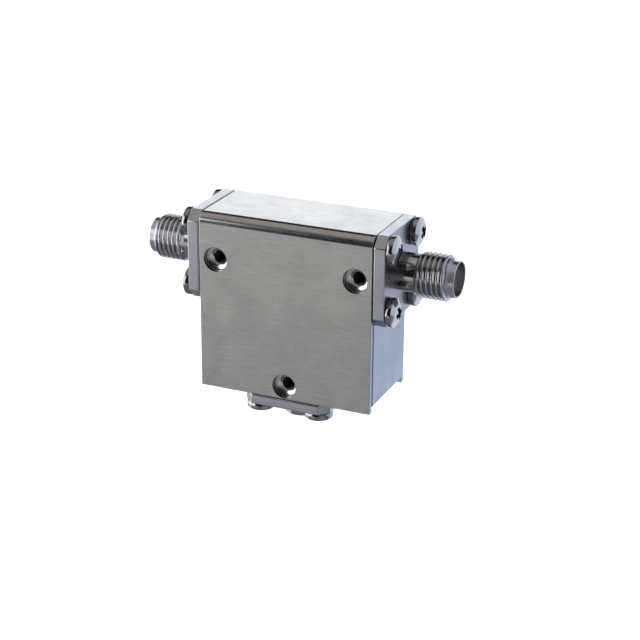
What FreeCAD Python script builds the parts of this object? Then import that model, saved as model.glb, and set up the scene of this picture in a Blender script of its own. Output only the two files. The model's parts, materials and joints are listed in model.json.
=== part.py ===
import FreeCAD, Part
import math
import os
import re
import Sketcher

# A cryogenic isolator: a junction block under a folded magnetic shield, with a coaxial
# port on the left and on the right and a load under it. The origin lies on the front
# face, midway between the two upper fixing holes, at the height of the port axis.
# X runs along the port axis, -Y is the front and +Z is up. Millimetres.

# Driving sizes: name, value, meaning
SIZES = [
    ("flange_size", 12.7, "square flanges of the ports and the load, and the depth of the shield"),
    ("flange_corner", 1.4, "45 degree corners of the flanges"),
    ("port_flange", 1.65, "thickness of the ports' flanges"),
    ("load_flange", 1.4, "thickness of the load's flange"),
    ("screw_inset", 2.03, "flange screws, from the edges of the flange"),
    ("block_width", 25.4, "block, between the seats of the two ports"),
    ("end_gap", 0.1, "ends of the shield to the ports' flanges"),
    ("top_step", 0.05, "top of the shield below the edge of the ports' flanges"),
    ("cover_drop", 18.8, "port axis to the lower edges of the shield"),
    ("cover_sheet", 0.8, "thickness of the shield's sheet"),
    ("bend_radius", 1.5, "outer radius of the shield's two bends"),
    ("bend_relief", 0.2, "how much rounder the block's upper edges are than the bends inside"),
    ("skirt", 0.9, "overhang of the shield below the block"),
    ("load_gap", 0.1, "lower edges of the shield to the load's flange"),
    ("cover_hole", 3.4, "clearance holes in the shield's front"),
    ("fixing_inset", 2.5, "sides of the block to the upper fixing holes"),
    ("lower_hole_rise", 1.9, "lower edge of the shield to the lower fixing hole"),
    ("fixing_bore", 2.0, "tapped fixing holes in the block"),
    ("fixing_depth", 2.4, "depth of the fixing holes in the block"),
    ("fixing_sink", 3.1, "mouth of the countersinks at the fixing holes"),
    ("sink_angle", 90.0, "included angle of the countersinks, degrees"),
    ("junction_bore", 15.0, "round chamber through the block"),
    ("junction_drop", 4.0, "port axis to the middle of the chamber"),
    ("slip", 0.05, "radial clearance of the stacked discs"),
    ("strip_sheet", 0.3, "thickness of the centre conductor"),
    ("strip_disc", 7.6, "disc in the middle of the centre conductor"),
    ("strip_arm", 1.1, "width of the centre conductor's arms"),
    ("arm_angle", 30.0, "rise of the two upper arms, degrees"),
    ("ferrite_dia", 10.0, "ferrite discs"),
    ("ferrite_sheet", 1.5, "thickness of the ferrite discs and their rings"),
    ("ground_sheet", 0.6, "thickness of the ground plates"),
    ("magnet_dia", 12.6, "disc magnets"),
    ("magnet_sheet", 2.0, "thickness of the magnets"),
    ("line_bore", 4.1, "bores of the coaxial lines"),
    ("line_reach", 3.2, "how far the lines' insulators reach into the block"),
    ("contact_dia", 1.27, "centre contacts"),
    ("socket_bore", 0.94, "socket in the end of a port's contact"),
    ("socket_depth", 2.6, "depth of that socket"),
    ("slot_width", 0.2, "slots that part the socket's fingers"),
    ("barrel_wall", 0.6, "wall of a port's smooth barrel"),
    ("barrel_length", 2.6, "smooth barrel, flange face to thread"),
    ("thread_dia", 6.3, "outside of a port's thread"),
    ("thread_length", 4.15, "thread with its run-in, up to the cone at its end"),
    ("lip_wall", 0.23, "wall of the plain lip round the mouth"),
    ("lip_length", 0.73, "plain lip, from the thread's cone to the mouth"),
    ("mouth_bore", 4.6, "bore of the mouth"),
    ("mouth_depth", 1.95, "mouth to the insulator's face"),
    ("rim_break", 0.08, "broken edge round the mouth"),
    ("boss_wall", 0.4, "wall of the load's closed boss"),
    ("boss_reach", 2.65, "flange face to the end of the boss"),
    ("boss_end", 0.6, "end wall of the boss"),
    ("boss_break", 0.3, "chamfer round the end of the boss"),
    ("screw_hole", 2.3, "clearance holes for the flange screws"),
    ("screw_shank", 1.8, "flange screws, at the middle of the thread"),
    ("screw_grip", 4.0, "length of a flange screw inside the block"),
    ("head_dia", 4.0, "pan heads"),
    ("head_band", 0.9, "straight side of the pan heads"),
    ("crown_rise", 0.6, "sloping top of the pan heads, above the straight side"),
    ("crown_dia", 2.4, "flat crown of the pan heads"),
    ("recess_span", 2.1, "cross recess, tip to tip"),
    ("recess_width", 0.5, "cross recess, width of an arm"),
    ("recess_depth", 0.8, "cross recess, crown to floor"),
]

# Formulas that several pieces share
MID_DEPTH = "(flange_size / 2)"
COVER_TOP = "(flange_size / 2 - top_step)"
INNER_BACK = "(flange_size - cover_sheet)"
BLOCK_HALF = "(block_width / 2)"
BLOCK_DEPTH = "(flange_size - 2 * cover_sheet)"
BLOCK_TOP = f"({COVER_TOP} - cover_sheet)"
INNER_BEND = "(bend_radius - cover_sheet)"
SCREW_SPACING = "(flange_size - 2 * screw_inset)"
BLOCK_FOOT = "(cover_drop - skirt)"
LOAD_SEAT = "(cover_drop + load_gap)"
DISC_DIA = "(junction_bore - 2 * slip)"
FERRITE_FACE = "(strip_sheet / 2 + ferrite_sheet)"
GROUND_FACE = f"({FERRITE_FACE} + ground_sheet)"
MAGNET_FACE = f"({GROUND_FACE} + magnet_sheet)"
STRIP_END = f"({BLOCK_HALF} - line_reach)"
BARREL = "(line_bore / 2 + barrel_wall)"
THREAD = "(thread_dia / 2)"
LIP = "(mouth_bore / 2 + lip_wall)"
BOSS = "(line_bore / 2 + boss_wall)"
THREAD_START = "(port_flange + barrel_length)"
THREAD_END = f"({THREAD_START} + thread_length)"
LIP_START = f"({THREAD_END} + {THREAD} - {LIP})"
PORT_MOUTH = f"({LIP_START} + lip_length)"
PORT_FLOOR = f"({PORT_MOUTH} - mouth_depth)"
LOAD_END = "(load_flange + boss_reach)"
WORDS_OF_MATHS = ("cos", "sin", "tan")

doc = FreeCAD.newDocument("Isolator")
sheet = doc.addObject("Spreadsheet::Sheet", "Sizes")
pieces = []


def fill_sheet():
    """Write each size, its name and its meaning to a row of the sheet."""
    for row, (name, size, meaning) in enumerate(SIZES, start=1):
        sheet.set(f"A{row}", name)
        sheet.set(f"B{row}", str(size))
        sheet.set(f"C{row}", meaning)
        sheet.setAlias(f"B{row}", name)
    doc.recompute()


def tied(formula):
    """The formula with the name of each size made a reference into the sheet."""
    def reference(match):
        word = match.group()
        return word if word in WORDS_OF_MATHS else f"Sizes.{word}"
    return re.sub(r"[a-z]\w*", reference, formula)


def value(formula):
    """The present value of a formula, as a plain number."""
    result = sheet.evalExpression(tied(formula))
    return float(getattr(result, "Value", result))


def tie(thing, prop, formula):
    """Bind a property to a formula of the sheet's sizes."""
    thing.setExpression(prop, tied(formula))


def place(piece, x="0", y="0", z="0", axis=(0, 0, 1), angle=0.0):
    """Turn a piece about an axis, then bind its position to the sheet."""
    turn = FreeCAD.Rotation(FreeCAD.Vector(*axis), angle)
    piece.Placement = FreeCAD.Placement(FreeCAD.Vector(0, 0, 0), turn)
    for letter, formula in zip("xyz", (x, y, z)):
        tie(piece, f"Placement.Base.{letter}", formula)


def new_piece(name):
    """An empty body that is written to a file of its own name."""
    body = doc.addObject("PartDesign::Body", name)
    body.Label = name
    body.AllowCompound = True
    pieces.append(body)
    return body


def new_sketch(body, name, role, offset="0", x="0", y="0"):
    """A sketch on an origin plane of the body, moved along the plane's normal and in it."""
    sketch = body.newObject("Sketcher::SketchObject", name)
    plane = next(item for item in body.Origin.OriginFeatures if item.Role == role)
    sketch.AttachmentSupport = [(plane, "")]
    sketch.MapMode = "FlatFace"
    for letter, formula in zip("xyz", (x, y, offset)):
        tie(sketch, f"AttachmentOffset.Base.{letter}", formula)
    return sketch


def constrain(sketch, kind, *parts, formula):
    """Add a dimension to a sketch and bind it to a formula."""
    number = sketch.addConstraint(Sketcher.Constraint(kind, *parts, value(formula)))
    tie(sketch, f"Constraints[{number}]", formula)


def pin_point(sketch, edge, end, x, y):
    """Fix a point of a sketch by its two distances from the origin."""
    for kind, axis, formula in (("DistanceX", -2, x), ("DistanceY", -1, y)):
        if formula == "0":
            sketch.addConstraint(Sketcher.Constraint("PointOnObject", edge, end, axis))
        elif formula.startswith("-"):
            constrain(sketch, kind, edge, end, -1, 1, formula=formula[1:])
        else:
            constrain(sketch, kind, -1, 1, edge, end, formula=formula)


def signed(formula):
    """The value of a formula that may start with a minus sign."""
    if formula.startswith("-"):
        return -value(formula[1:])
    return value(formula)


def outline(sketch, corners):
    """A closed outline of straight lines through corners given as formulas."""
    spots = [FreeCAD.Vector(signed(x), signed(y), 0) for x, y in corners]
    following = spots[1:] + spots[:1]
    first = sketch.GeometryCount
    for start, end in zip(spots, following):
        sketch.addGeometry(Part.LineSegment(start, end), False)
    last = first + len(corners) - 1
    for edge, (x, y) in enumerate(corners, start=first):
        before = last if edge == first else edge - 1
        sketch.addConstraint(Sketcher.Constraint("Coincident", before, 2, edge, 1))
        pin_point(sketch, edge, 1, x, y)


def circle(sketch, diameter, x="0", y="0"):
    """A circle, its middle given by two formulas."""
    middle = FreeCAD.Vector(signed(x), signed(y), 0)
    normal = FreeCAD.Vector(0, 0, 1)
    number = sketch.addGeometry(Part.Circle(middle, normal, value(diameter) / 2), False)
    constrain(sketch, "Diameter", number, formula=diameter)
    if x == "0" and y == "0":
        sketch.addConstraint(Sketcher.Constraint("Coincident", number, 3, -1, 1))
    else:
        pin_point(sketch, number, 3, x, y)


def screw_circles(sketch, diameter):
    """Circles at the four places of a flange's screws, about the sketch's origin."""
    for x in (f"-{SCREW_SPACING} / 2", f"{SCREW_SPACING} / 2"):
        for y in (f"-{SCREW_SPACING} / 2", f"{SCREW_SPACING} / 2"):
            circle(sketch, diameter, x, y)


def cross(sketch, tip, half):
    """An upright cross about the sketch's origin: tip from the middle, half as wide an arm."""
    quarter = [(tip, half), (half, half), (half, tip)]
    upper = quarter + [(f"-{x}", y) for x, y in reversed(quarter)]
    lower = [(x[1:] if x.startswith("-") else f"-{x}", f"-{y}") for x, y in upper]
    outline(sketch, upper + lower)


def pad(body, sketch, name, length, both_ways=False, reverse=False):
    """A pad whose length is bound to a formula."""
    feature = body.newObject("PartDesign::Pad", name)
    feature.Profile = sketch
    feature.Midplane = both_ways
    feature.Reversed = reverse
    tie(feature, "Length", length)
    return feature


def cut(body, sketch, name, length="", both_ways=False, reverse=False):
    """A pocket of bound length, or right through where no length is given."""
    before = solid_volume(body)
    feature = body.newObject("PartDesign::Pocket", name)
    feature.Profile = sketch
    feature.Midplane = both_ways
    feature.Reversed = reverse
    if length:
        tie(feature, "Length", length)
    else:
        feature.Type = "ThroughAll"
    check_cut(body, name, before)
    return feature


def solid_volume(body):
    """The volume of a body as it stands."""
    doc.recompute()
    return body.Shape.Volume


def check_cut(body, name, before):
    """Stop where a cut has taken nothing away."""
    if solid_volume(body) >= before:
        raise RuntimeError(f"{body.Label}: {name} cut nothing")


def turned(body, sketch, name, axis="H_Axis"):
    """A full revolution of a profile about an axis of its sketch."""
    feature = body.newObject("PartDesign::Revolution", name)
    feature.Profile = sketch
    feature.ReferenceAxis = (sketch, [axis])
    feature.Angle = 360.0
    return feature


def near(one, other):
    """Whether two lengths agree within the kernel's tolerance."""
    return math.isclose(one, other, abs_tol=1e-5)


def rounded(body, name, edges, radius):
    """A fillet on named edges of the body's tip."""
    base = body.Tip
    feature = body.newObject("PartDesign::Fillet", name)
    feature.Base = (base, edges)
    tie(feature, "Radius", radius)
    return feature


def level_edges(body, depth, height):
    """The names of the edges that run along X at a depth and a height given as formulas."""
    doc.recompute()
    names = []
    for number, edge in enumerate(body.Shape.Edges, start=1):
        spots = [vertex.Point for vertex in edge.Vertexes]
        if all(near(spot.y, value(depth)) and near(spot.z, value(height)) for spot in spots):
            names.append(f"Edge{number}")
    return names


# Shield

def make_cover():
    """A strip of sheet folded over the block: front, top and back in one piece."""
    body = new_piece("shield_cover")
    section = new_sketch(body, "cover_section", "YZ_Plane")
    foot = "-cover_drop"
    outline(section, [
        ("0", foot), ("0", COVER_TOP), ("flange_size", COVER_TOP), ("flange_size", foot),
        (INNER_BACK, foot), (INNER_BACK, BLOCK_TOP), ("cover_sheet", BLOCK_TOP), ("cover_sheet", foot),
    ])
    pad(body, section, "cover_strip", "block_width - 2 * end_gap", both_ways=True)
    outer = level_edges(body, "0", COVER_TOP) + level_edges(body, "flange_size", COVER_TOP)
    rounded(body, "outer_bends", outer, "bend_radius")
    inner = level_edges(body, "cover_sheet", BLOCK_TOP) + level_edges(body, INNER_BACK, BLOCK_TOP)
    rounded(body, "inner_bends", inner, INNER_BEND)
    holes = new_sketch(body, "cover_holes", "XZ_Plane")
    for x, z in fixing_places():
        circle(holes, "cover_hole", x, z)
    cut(body, holes, "hole_cuts", "cover_sheet")


def fixing_places():
    """The three fixing holes: two at the height of the port axis and one below."""
    side = f"({BLOCK_HALF} - fixing_inset)"
    return [(f"-{side}", "0"), (side, "0"), ("0", "-(cover_drop - lower_hole_rise)")]


# Block

def make_block():
    """The junction block, with its chamber, line bores, seats and screw holes."""
    body = new_piece("junction_block")
    face = new_sketch(body, "block_face", "XZ_Plane", "-cover_sheet")
    side, seat = BLOCK_HALF, MID_DEPTH
    foot, toe = f"-{BLOCK_FOOT}", f"-{LOAD_SEAT}"
    outline(face, [
        (f"-{side}", foot), (f"-{seat}", foot), (f"-{seat}", toe), (seat, toe),
        (seat, foot), (side, foot), (side, BLOCK_TOP), (f"-{side}", BLOCK_TOP),
    ])
    pad(body, face, "block_pad", BLOCK_DEPTH, reverse=True)
    upper = level_edges(body, "cover_sheet", BLOCK_TOP) + level_edges(body, INNER_BACK, BLOCK_TOP)
    rounded(body, "upper_edges", upper, f"{INNER_BEND} + bend_relief")
    chamber = new_sketch(body, "chamber_circle", "XZ_Plane")
    circle(chamber, "junction_bore", "0", "-junction_drop")
    cut(body, chamber, "chamber", both_ways=True)
    line = new_sketch(body, "line_circle", "YZ_Plane")
    circle(line, "line_bore", MID_DEPTH, "0")
    cut(body, line, "line_bores", both_ways=True)
    drop = new_sketch(body, "load_circle", "XY_Plane", "-junction_drop")
    circle(drop, "line_bore", "0", MID_DEPTH)
    cut(body, drop, "load_bore")
    bore_fixings(body)
    bore_flange_screws(body)


def bore_fixings(body):
    """Three blind countersunk holes in the front, with drilled points."""
    spots = new_sketch(body, "fixing_spots", "XZ_Plane", "-cover_sheet")
    for x, z in fixing_places():
        circle(spots, "fixing_bore", x, z)
    before = solid_volume(body)
    hole = body.newObject("PartDesign::Hole", "fixing_holes")
    hole.Profile = spots
    doc.recompute()
    hole.DepthType = "Dimension"
    hole.HoleCutType = "Countersink"
    hole.DrillPoint = "Angled"
    tie(hole, "Diameter", "fixing_bore")
    tie(hole, "Depth", "fixing_depth")
    tie(hole, "HoleCutDiameter", "fixing_sink")
    tie(hole, "HoleCutCountersinkAngle", "sink_angle")
    check_cut(body, "fixing_holes", before)


def bore_flange_screws(body):
    """Four blind holes behind each flange, on the sides and in the seat below."""
    for name, offset, reverse in (("right", BLOCK_HALF, False), ("left", f"-{BLOCK_HALF}", True)):
        spots = new_sketch(body, f"{name}_screw_spots", "YZ_Plane", offset, x=MID_DEPTH)
        screw_circles(spots, "screw_shank")
        cut(body, spots, f"{name}_screw_holes", "screw_grip", reverse=reverse)
    spots = new_sketch(body, "load_screw_spots", "XY_Plane", f"-{LOAD_SEAT}", y=MID_DEPTH)
    screw_circles(spots, "screw_shank")
    cut(body, spots, "load_screw_holes", "screw_grip", reverse=True)


# Junction stack

def make_conductor():
    """The flat centre conductor: a disc with one arm to each port and one to the load."""
    body = new_piece("centre_conductor")
    disc = new_sketch(body, "disc_circle", "XZ_Plane")
    circle(disc, "strip_disc", "0", "-junction_drop")
    pad(body, disc, "disc", "strip_sheet", both_ways=True)
    half = "strip_arm / 2"
    across = f"{half} * sin(arm_angle)"
    along = f"{half} * cos(arm_angle)"
    elbow = "junction_drop / tan(arm_angle)"
    mitre = f"{half} * tan(arm_angle / 2)"
    arm = new_sketch(body, "arm_outline", "XZ_Plane")
    outline(arm, [
        (f"-({across})", f"-(junction_drop - {along})"), (across, f"-(junction_drop + {along})"),
        (f"{elbow} + {mitre}", f"-{half}"), (STRIP_END, f"-{half}"),
        (STRIP_END, half), (f"{elbow} - {mitre}", half),
    ])
    right_arm = pad(body, arm, "right_arm", "strip_sheet", both_ways=True)
    doc.recompute()
    left_arm = body.newObject("PartDesign::Mirrored", "left_arm")
    left_arm.Originals = [right_arm]
    left_arm.MirrorPlane = (arm, ["V_Axis"])
    body.Tip = left_arm
    stem = new_sketch(body, "stem_outline", "XZ_Plane")
    foot = f"-({LOAD_SEAT} - line_reach)"
    outline(stem, [
        (f"-{half}", foot), (half, foot), (half, "-junction_drop"), (f"-{half}", "-junction_drop"),
    ])
    pad(body, stem, "stem", "strip_sheet", both_ways=True)
    place(body, y=MID_DEPTH)


def stack_disc(name, side_turn, diameter, inner_face, thickness, hole=""):
    """A disc or ring of the stack, at its distance from the centre conductor."""
    body = new_piece(name)
    face = new_sketch(body, f"{name}_circle", "XY_Plane", inner_face)
    circle(face, diameter)
    if hole:
        circle(face, hole)
    pad(body, face, f"{name}_pad", thickness)
    place_in_stack(body, side_turn)


def place_in_stack(body, side_turn):
    """Stand a piece of the stack on the chamber's axis, facing front or back."""
    place(body, y=MID_DEPTH, z="-junction_drop", axis=(1, 0, 0), angle=side_turn)


def make_pole_cap(name, side_turn):
    """A steel cup that closes the chamber and holds the magnet in its rim."""
    body = new_piece(name)
    section = new_sketch(body, f"{name}_section", "XZ_Plane")
    inner, outer = "(magnet_dia / 2 + slip)", f"{DISC_DIA} / 2"
    closed_end = f"{BLOCK_DEPTH} / 2"
    outline(section, [
        (inner, GROUND_FACE), (outer, GROUND_FACE), (outer, closed_end),
        ("0", closed_end), ("0", MAGNET_FACE), (inner, MAGNET_FACE),
    ])
    turned(body, section, f"{name}_cup", "V_Axis")
    place_in_stack(body, side_turn)


def make_stack():
    """The ferrites, rings, ground plates, magnets and caps of both halves."""
    for side, side_turn in (("front", 90.0), ("back", -90.0)):
        stack_disc(f"{side}_ferrite", side_turn, "ferrite_dia", "strip_sheet / 2", "ferrite_sheet")
        stack_disc(f"{side}_ferrite_ring", side_turn, DISC_DIA, "strip_sheet / 2", "ferrite_sheet",
                   hole="ferrite_dia + 2 * slip")
        stack_disc(f"{side}_ground_plate", side_turn, DISC_DIA, FERRITE_FACE, "ground_sheet")
        stack_disc(f"{side}_magnet", side_turn, "magnet_dia", GROUND_FACE, "magnet_sheet")
        make_pole_cap(f"{side}_pole_cap", side_turn)


# Coaxial lines, each built along +X from its seat on the block

def at_right(piece):
    """Stand a piece of a line on the right side of the block."""
    place(piece, x=BLOCK_HALF, y=MID_DEPTH)


def at_left(piece):
    """Stand a piece of a line on the left side of the block."""
    place(piece, x=f"-{BLOCK_HALF}", y=MID_DEPTH, angle=180.0)


def below(piece):
    """Stand a piece of a line under the block."""
    place(piece, y=MID_DEPTH, z=f"-{LOAD_SEAT}", axis=(0, 1, 0), angle=90.0)


def flange_plate(body, name, thickness):
    """A square flange with cut corners, four clearance holes and a line bore."""
    face = new_sketch(body, f"{name}_flange_face", "YZ_Plane")
    far = MID_DEPTH
    cut_off = f"({far} - flange_corner)"
    outline(face, [
        (f"-{far}", f"-{cut_off}"), (f"-{cut_off}", f"-{far}"), (cut_off, f"-{far}"), (far, f"-{cut_off}"),
        (far, cut_off), (cut_off, far), (f"-{cut_off}", far), (f"-{far}", cut_off),
    ])
    circle(face, "line_bore")
    screw_circles(face, "screw_hole")
    pad(body, face, f"{name}_flange", thickness)


def make_port_shell(name, stand):
    """A port's outer conductor: flange, barrel, thread land and lip round the mouth."""
    body = new_piece(name)
    flange_plate(body, name, "port_flange")
    section = new_sketch(body, f"{name}_section", "XY_Plane")
    bore, mouth = "line_bore / 2", "mouth_bore / 2"
    outline(section, [
        ("0", bore), ("0", BARREL), (THREAD_START, BARREL),
        (f"{THREAD_START} + {THREAD} - {BARREL}", THREAD), (THREAD_END, THREAD), (LIP_START, LIP),
        (f"{PORT_MOUTH} - rim_break", LIP), (PORT_MOUTH, f"{LIP} - rim_break"),
        (PORT_MOUTH, f"{mouth} + rim_break"), (f"{PORT_MOUTH} - rim_break", mouth),
        (PORT_FLOOR, mouth), (PORT_FLOOR, bore),
    ])
    turned(body, section, f"{name}_barrel")
    stand(body)


def make_load_shell():
    """The load's outer conductor: a flange with a closed round boss."""
    body = new_piece("load_shell")
    flange_plate(body, "load_shell", "load_flange")
    section = new_sketch(body, "load_section", "XY_Plane")
    bore, inner_end = "line_bore / 2", f"{LOAD_END} - boss_end"
    outline(section, [
        ("0", bore), ("0", BOSS), (f"{LOAD_END} - boss_break", BOSS), (LOAD_END, f"{BOSS} - boss_break"),
        (LOAD_END, "0"), (inner_end, "0"), (inner_end, bore),
    ])
    turned(body, section, "load_boss")
    below(body)


def line_tube(name, stand, diameter, reach, hole=""):
    """A round piece of a line, from inside the block out to a given reach."""
    body = new_piece(name)
    face = new_sketch(body, f"{name}_circle", "YZ_Plane", "-line_reach")
    circle(face, diameter)
    if hole:
        circle(face, hole)
    pad(body, face, f"{name}_pad", f"line_reach + {reach}")
    stand(body)
    return body


def make_port_contact(name, stand):
    """A port's centre contact, with a slotted socket in its outer end."""
    body = line_tube(name, stand, "contact_dia", PORT_FLOOR)
    socket = new_sketch(body, f"{name}_socket_circle", "YZ_Plane", PORT_FLOOR)
    circle(socket, "socket_bore")
    cut(body, socket, f"{name}_socket", "socket_depth")
    slots = new_sketch(body, f"{name}_slot_cross", "YZ_Plane", PORT_FLOOR)
    cross(slots, "contact_dia", "slot_width / 2")
    cut(body, slots, f"{name}_slots", "socket_depth")


def make_load_resistor():
    """The round resistive element that fills the end of the load's bore."""
    body = new_piece("load_resistor")
    face = new_sketch(body, "resistor_circle", "YZ_Plane", "load_flange")
    circle(face, "line_bore")
    pad(body, face, "resistor_rod", "boss_reach - boss_end")
    below(body)


def make_screws(name, stand, flange):
    """Four pan head screws with cross recesses, on the corners of a square."""
    body = new_piece(name)
    corner = f"-{SCREW_SPACING} / 2"
    section = new_sketch(body, f"{name}_section", "XY_Plane", corner, y=corner)
    band = f"{flange} + head_band"
    crown = f"{band} + crown_rise"
    shank, head = "screw_shank / 2", "head_dia / 2"
    outline(section, [
        ("-screw_grip", "0"), ("-screw_grip", shank), (flange, shank), (flange, head),
        (band, head), (crown, "crown_dia / 2"), (crown, "0"),
    ])
    screw = turned(body, section, f"{name}_screw")
    recess_face = new_sketch(body, f"{name}_recess_face", "YZ_Plane", crown, x=corner, y=corner)
    cross(recess_face, "recess_span / 2", "recess_width / 2")
    recess = cut(body, recess_face, f"{name}_recess", "recess_depth")
    square_pattern(body, [screw, recess], f"{name}_square")
    stand(body)


def square_pattern(body, features, name):
    """Repeat features along both sides of the screws' square."""
    pattern = body.newObject("PartDesign::MultiTransform", name)
    pattern.Originals = features
    rows = []
    for role in ("Y_Axis", "Z_Axis"):
        row = doc.addObject("PartDesign::LinearPattern", f"{name}_{role[0].lower()}")
        axis = next(item for item in body.Origin.OriginFeatures if item.Role == role)
        row.Direction = (axis, [""])
        row.Occurrences = 2
        tie(row, "Length", SCREW_SPACING)
        rows.append(row)
        body.addObject(row)
    pattern.Transformations = rows
    body.Tip = pattern
    doc.recompute()


def main():
    """Build every piece, check it and write it to its file."""
    fill_sheet()
    make_cover()
    make_block()
    make_conductor()
    make_stack()
    for side, stand in (("left", at_left), ("right", at_right)):
        make_port_shell(f"{side}_port_shell", stand)
        line_tube(f"{side}_port_insulator", stand, "line_bore", PORT_FLOOR, hole="contact_dia")
        make_port_contact(f"{side}_port_contact", stand)
        make_screws(f"{side}_port_screws", stand, "port_flange")
    make_load_shell()
    line_tube("load_insulator", below, "line_bore", "load_flange", hole="contact_dia")
    line_tube("load_pin", below, "contact_dia", "load_flange")
    make_load_resistor()
    make_screws("load_screws", below, "load_flange")
    doc.recompute()
    write_pieces()


def write_pieces():
    """Check every object of the document, then write one file for each piece."""
    for thing in doc.Objects:
        if "Invalid" in thing.State or "Error" in thing.State:
            raise RuntimeError(f"{thing.Label} failed: {thing.State}")
    os.makedirs("parts", exist_ok=True)
    for piece in pieces:
        shape = piece.Shape
        if shape.isNull() or not shape.isValid():
            raise RuntimeError(f"{piece.Label} has no valid shape")
        shape.exportStep(os.path.join("parts", f"{piece.Label}.step"))
        box = shape.BoundBox
        print(f"{piece.Label}: {len(shape.Solids)} solid(s), {shape.Volume:.2f} mm3, "
              f"x {box.XMin:.2f}..{box.XMax:.2f} y {box.YMin:.2f}..{box.YMax:.2f} "
              f"z {box.ZMin:.2f}..{box.ZMax:.2f}")


main()
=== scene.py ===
import json
from math import asin, atan, cos, degrees, pi, radians, sin, sqrt, tan
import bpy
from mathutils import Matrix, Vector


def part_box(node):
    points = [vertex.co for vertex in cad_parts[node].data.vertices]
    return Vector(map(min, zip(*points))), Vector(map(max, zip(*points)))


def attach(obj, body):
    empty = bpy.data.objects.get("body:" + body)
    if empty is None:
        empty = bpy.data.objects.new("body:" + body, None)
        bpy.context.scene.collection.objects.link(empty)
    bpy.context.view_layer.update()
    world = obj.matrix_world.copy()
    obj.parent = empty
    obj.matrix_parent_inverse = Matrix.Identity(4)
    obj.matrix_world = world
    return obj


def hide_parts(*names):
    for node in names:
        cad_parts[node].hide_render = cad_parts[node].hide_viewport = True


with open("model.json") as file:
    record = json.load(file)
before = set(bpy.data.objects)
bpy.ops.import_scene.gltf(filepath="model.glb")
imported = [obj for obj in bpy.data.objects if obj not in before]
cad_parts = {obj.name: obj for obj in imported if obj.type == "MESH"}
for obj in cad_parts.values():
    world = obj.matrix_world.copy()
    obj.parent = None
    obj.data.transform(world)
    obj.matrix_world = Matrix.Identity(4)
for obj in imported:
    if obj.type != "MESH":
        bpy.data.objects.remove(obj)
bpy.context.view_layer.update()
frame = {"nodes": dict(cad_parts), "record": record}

from types import SimpleNamespace

import bmesh
import bpy
from bpy.props import FloatProperty, FloatVectorProperty, PointerProperty
from mathutils import Matrix, Vector

bl_info = {
    "name": "Coaxial isolator",
    "version": (1, 0, 0),
    "blender": (4, 5, 0),
    "location": "View3D > Sidebar > Isolator",
    "description": "Dresses a coaxial isolator in its folded shield, threaded ports, load and screws",
    "category": "Object",
}

# Solids are built in millimetres, and mesh_of brings them to metres
MM = 1000.0
# A point this near to a plane or a round lies on it
TOUCH = 0.002
# How far a cutter reaches past the faces that it cuts
PAST = 1.0
# How deep a turned body's foot stands in its flange before the two are joined
SUNK = 0.5
# Depth of a unified thread in pitches, and the slope of its flanks
THREAD_DEPTH, FLANK = 0.6134, radians(60)
# From the side of a screw's head in to the foot of its dome
HEAD_RIM = 0.06
# Faces that meet at more than this keep a sharp edge between them
SHARP = radians(38)


def box_mm(node):
    """The lowest and highest corners of a CAD node, in millimetres."""
    low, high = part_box(node)
    return low * MM, high * MM


def mount(name):
    """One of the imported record's mounts."""
    return next(item for item in frame["record"]["mounts"] if item["name"] == name)


# Places and sizes that the frame gives
COVER_LOW, COVER_HIGH = box_mm("shield_cover")
BLOCK_LOW, BLOCK_HIGH = box_mm("junction_block")
PORT_LOW, PORT_HIGH = box_mm("right_port_shell")
LOAD_LOW, LOAD_HIGH = box_mm("load_shell")
CHAMBER_LOW, CHAMBER_HIGH = box_mm("front_ground_plate")
LINE_LOW, LINE_HIGH = box_mm("right_port_insulator")
CONTACT_LOW, CONTACT_HIGH = box_mm("right_port_contact")
SCREWS_LOW = box_mm("right_port_screws")[0]
RESISTOR_LOW = box_mm("load_resistor")[0]
SEAT = PORT_LOW.x
MID_DEPTH = (PORT_LOW.y + PORT_HIGH.y) / 2
FLANGE_HALF = PORT_HIGH.z
PORT_REACH = PORT_HIGH.x - SEAT
LOAD_REACH = LOAD_HIGH.z - LOAD_LOW.z
LINE_BORE = LINE_HIGH.y - LINE_LOW.y
CONTACT = CONTACT_HIGH.y - CONTACT_LOW.y
SCREW_GRIP = SEAT - SCREWS_LOW.x
FIXING_SIDE = mount("fixing_pair")["dims"]["spacing_x_mm"] / 2
LOWER_FIXING = mount("lower_fixing")["pos_m"][2] * MM
THREAD = 2 * mount("right_port")["dims"]["r_mm"]
MOUTH = 2 * mount("right_mouth")["dims"]["r_mm"]


# Sizes, colours and studio values that a user would change

def length(name, description, millimetres):
    """A length property, given in millimetres and kept in metres."""
    return FloatProperty(name=name, description=description, default=millimetres / MM,
                         min=0.0, precision=5, subtype="DISTANCE", unit="LENGTH")


def colour(name, description, default):
    """A colour property."""
    return FloatVectorProperty(name=name, description=description, default=default,
                               min=0.0, max=1.0, size=3, subtype="COLOR")


def angle(name, description, turn):
    """An angle property, given in degrees and kept in radians."""
    return FloatProperty(name=name, description=description, default=radians(turn),
                         subtype="ANGLE", unit="ROTATION")


def share(name, description, default):
    """A property from nought to one."""
    return FloatProperty(name=name, description=description, default=default,
                         min=0.0, max=1.0, subtype="FACTOR")


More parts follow.
